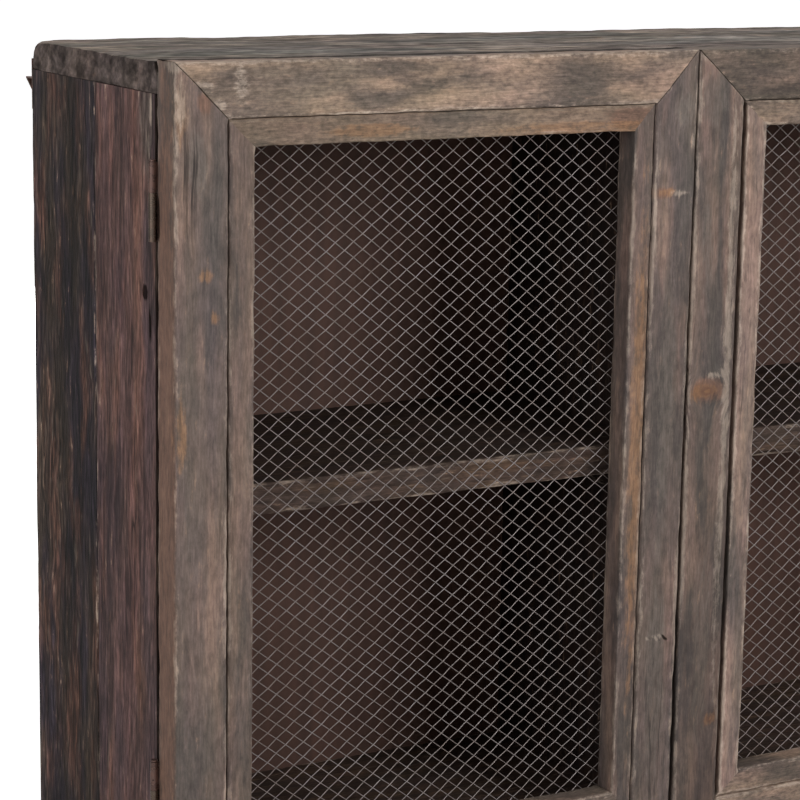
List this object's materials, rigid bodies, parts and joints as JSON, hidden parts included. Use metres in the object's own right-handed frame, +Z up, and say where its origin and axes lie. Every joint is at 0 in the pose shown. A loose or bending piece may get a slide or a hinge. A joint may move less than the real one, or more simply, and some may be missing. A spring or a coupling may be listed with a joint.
{
  "type": "kitchen wall cabinet",
  "caption": "Wall cabinet of old boards with a partition, shelves and a pair of mitred doors filled with diamond wire mesh, hung on butt hinges.",
  "frame": {"origin": "middle of the back panel's rear face, where the cabinet meets the wall", "axes": "+X to the right along the cabinet's width, +Y from the doors into the wall, +Z up"},
  "size_m": [1.0188, 0.3153, 0.7351],
  "materials": {
    "old_wood": "weathered, unpainted, dry grey-brown",
    "dark_wood": "weathered, rough, dark",
    "back_wood": "plain brown board",
    "steel_wire": "dull grey drawn wire",
    "hinge_steel": "dark, partly rusted steel",
    "catch_plastic": "moulded brown plastic"
  },
  "bodies": {
    "carcass": {"top_panel": "old_wood", "floor_panel": "old_wood", "back_panel": "back_wood", "partition": "dark_wood", "left_side_front_board": "old_wood", "left_side_rear_board": "dark_wood", "right_side_front_board": "old_wood", "right_side_rear_board": "dark_wood", "left_shelf": "old_wood", "right_shelf": "old_wood", "left_partition_cleat": "dark_wood", "left_side_cleat": "dark_wood", "right_partition_cleat": "dark_wood", "right_side_cleat": "dark_wood", "left_upper_hinge_case_leaf": "hinge_steel", "left_lower_hinge_case_leaf": "hinge_steel", "right_upper_hinge_case_leaf": "hinge_steel", "right_lower_hinge_case_leaf": "hinge_steel", "left_upper_hinge_pin": "hinge_steel", "left_lower_hinge_pin": "hinge_steel", "right_upper_hinge_pin": "hinge_steel", "right_lower_hinge_pin": "hinge_steel", "left_magnetic_catch": "catch_plastic", "right_magnetic_catch": "catch_plastic", "left_wall_hanger": "hinge_steel", "right_wall_hanger": "hinge_steel"},
    "left_door": {"left_door_hinge_stile": "old_wood", "left_door_meeting_stile": "old_wood", "left_door_top_rail": "old_wood", "left_door_bottom_rail": "old_wood", "left_door_hinge_bead": "old_wood", "left_door_meeting_bead": "old_wood", "left_door_top_bead": "old_wood", "left_door_bottom_bead": "old_wood", "left_door_mesh": "steel_wire", "left_upper_hinge_door_leaf": "hinge_steel", "left_lower_hinge_door_leaf": "hinge_steel", "left_strike_plate": "hinge_steel"},
    "right_door": {"right_door_hinge_stile": "old_wood", "right_door_meeting_stile": "old_wood", "right_door_top_rail": "old_wood", "right_door_bottom_rail": "old_wood", "right_door_hinge_bead": "old_wood", "right_door_meeting_bead": "old_wood", "right_door_top_bead": "old_wood", "right_door_bottom_bead": "old_wood", "right_door_mesh": "steel_wire", "right_upper_hinge_door_leaf": "hinge_steel", "right_lower_hinge_door_leaf": "hinge_steel", "right_strike_plate": "hinge_steel"}
  },
  "joints": [
    {"name": "left_door_hinge", "type": "hinge", "parent": "carcass", "child": "left_door", "pos_m": [-0.5061, -0.2665, 0], "axis": [0, 0, -1], "range_deg": [0, 180]},
    {"name": "right_door_hinge", "type": "hinge", "parent": "carcass", "child": "right_door", "pos_m": [0.5061, -0.2665, 0], "axis": [0, 0, 1], "range_deg": [0, 180]}
  ]
}
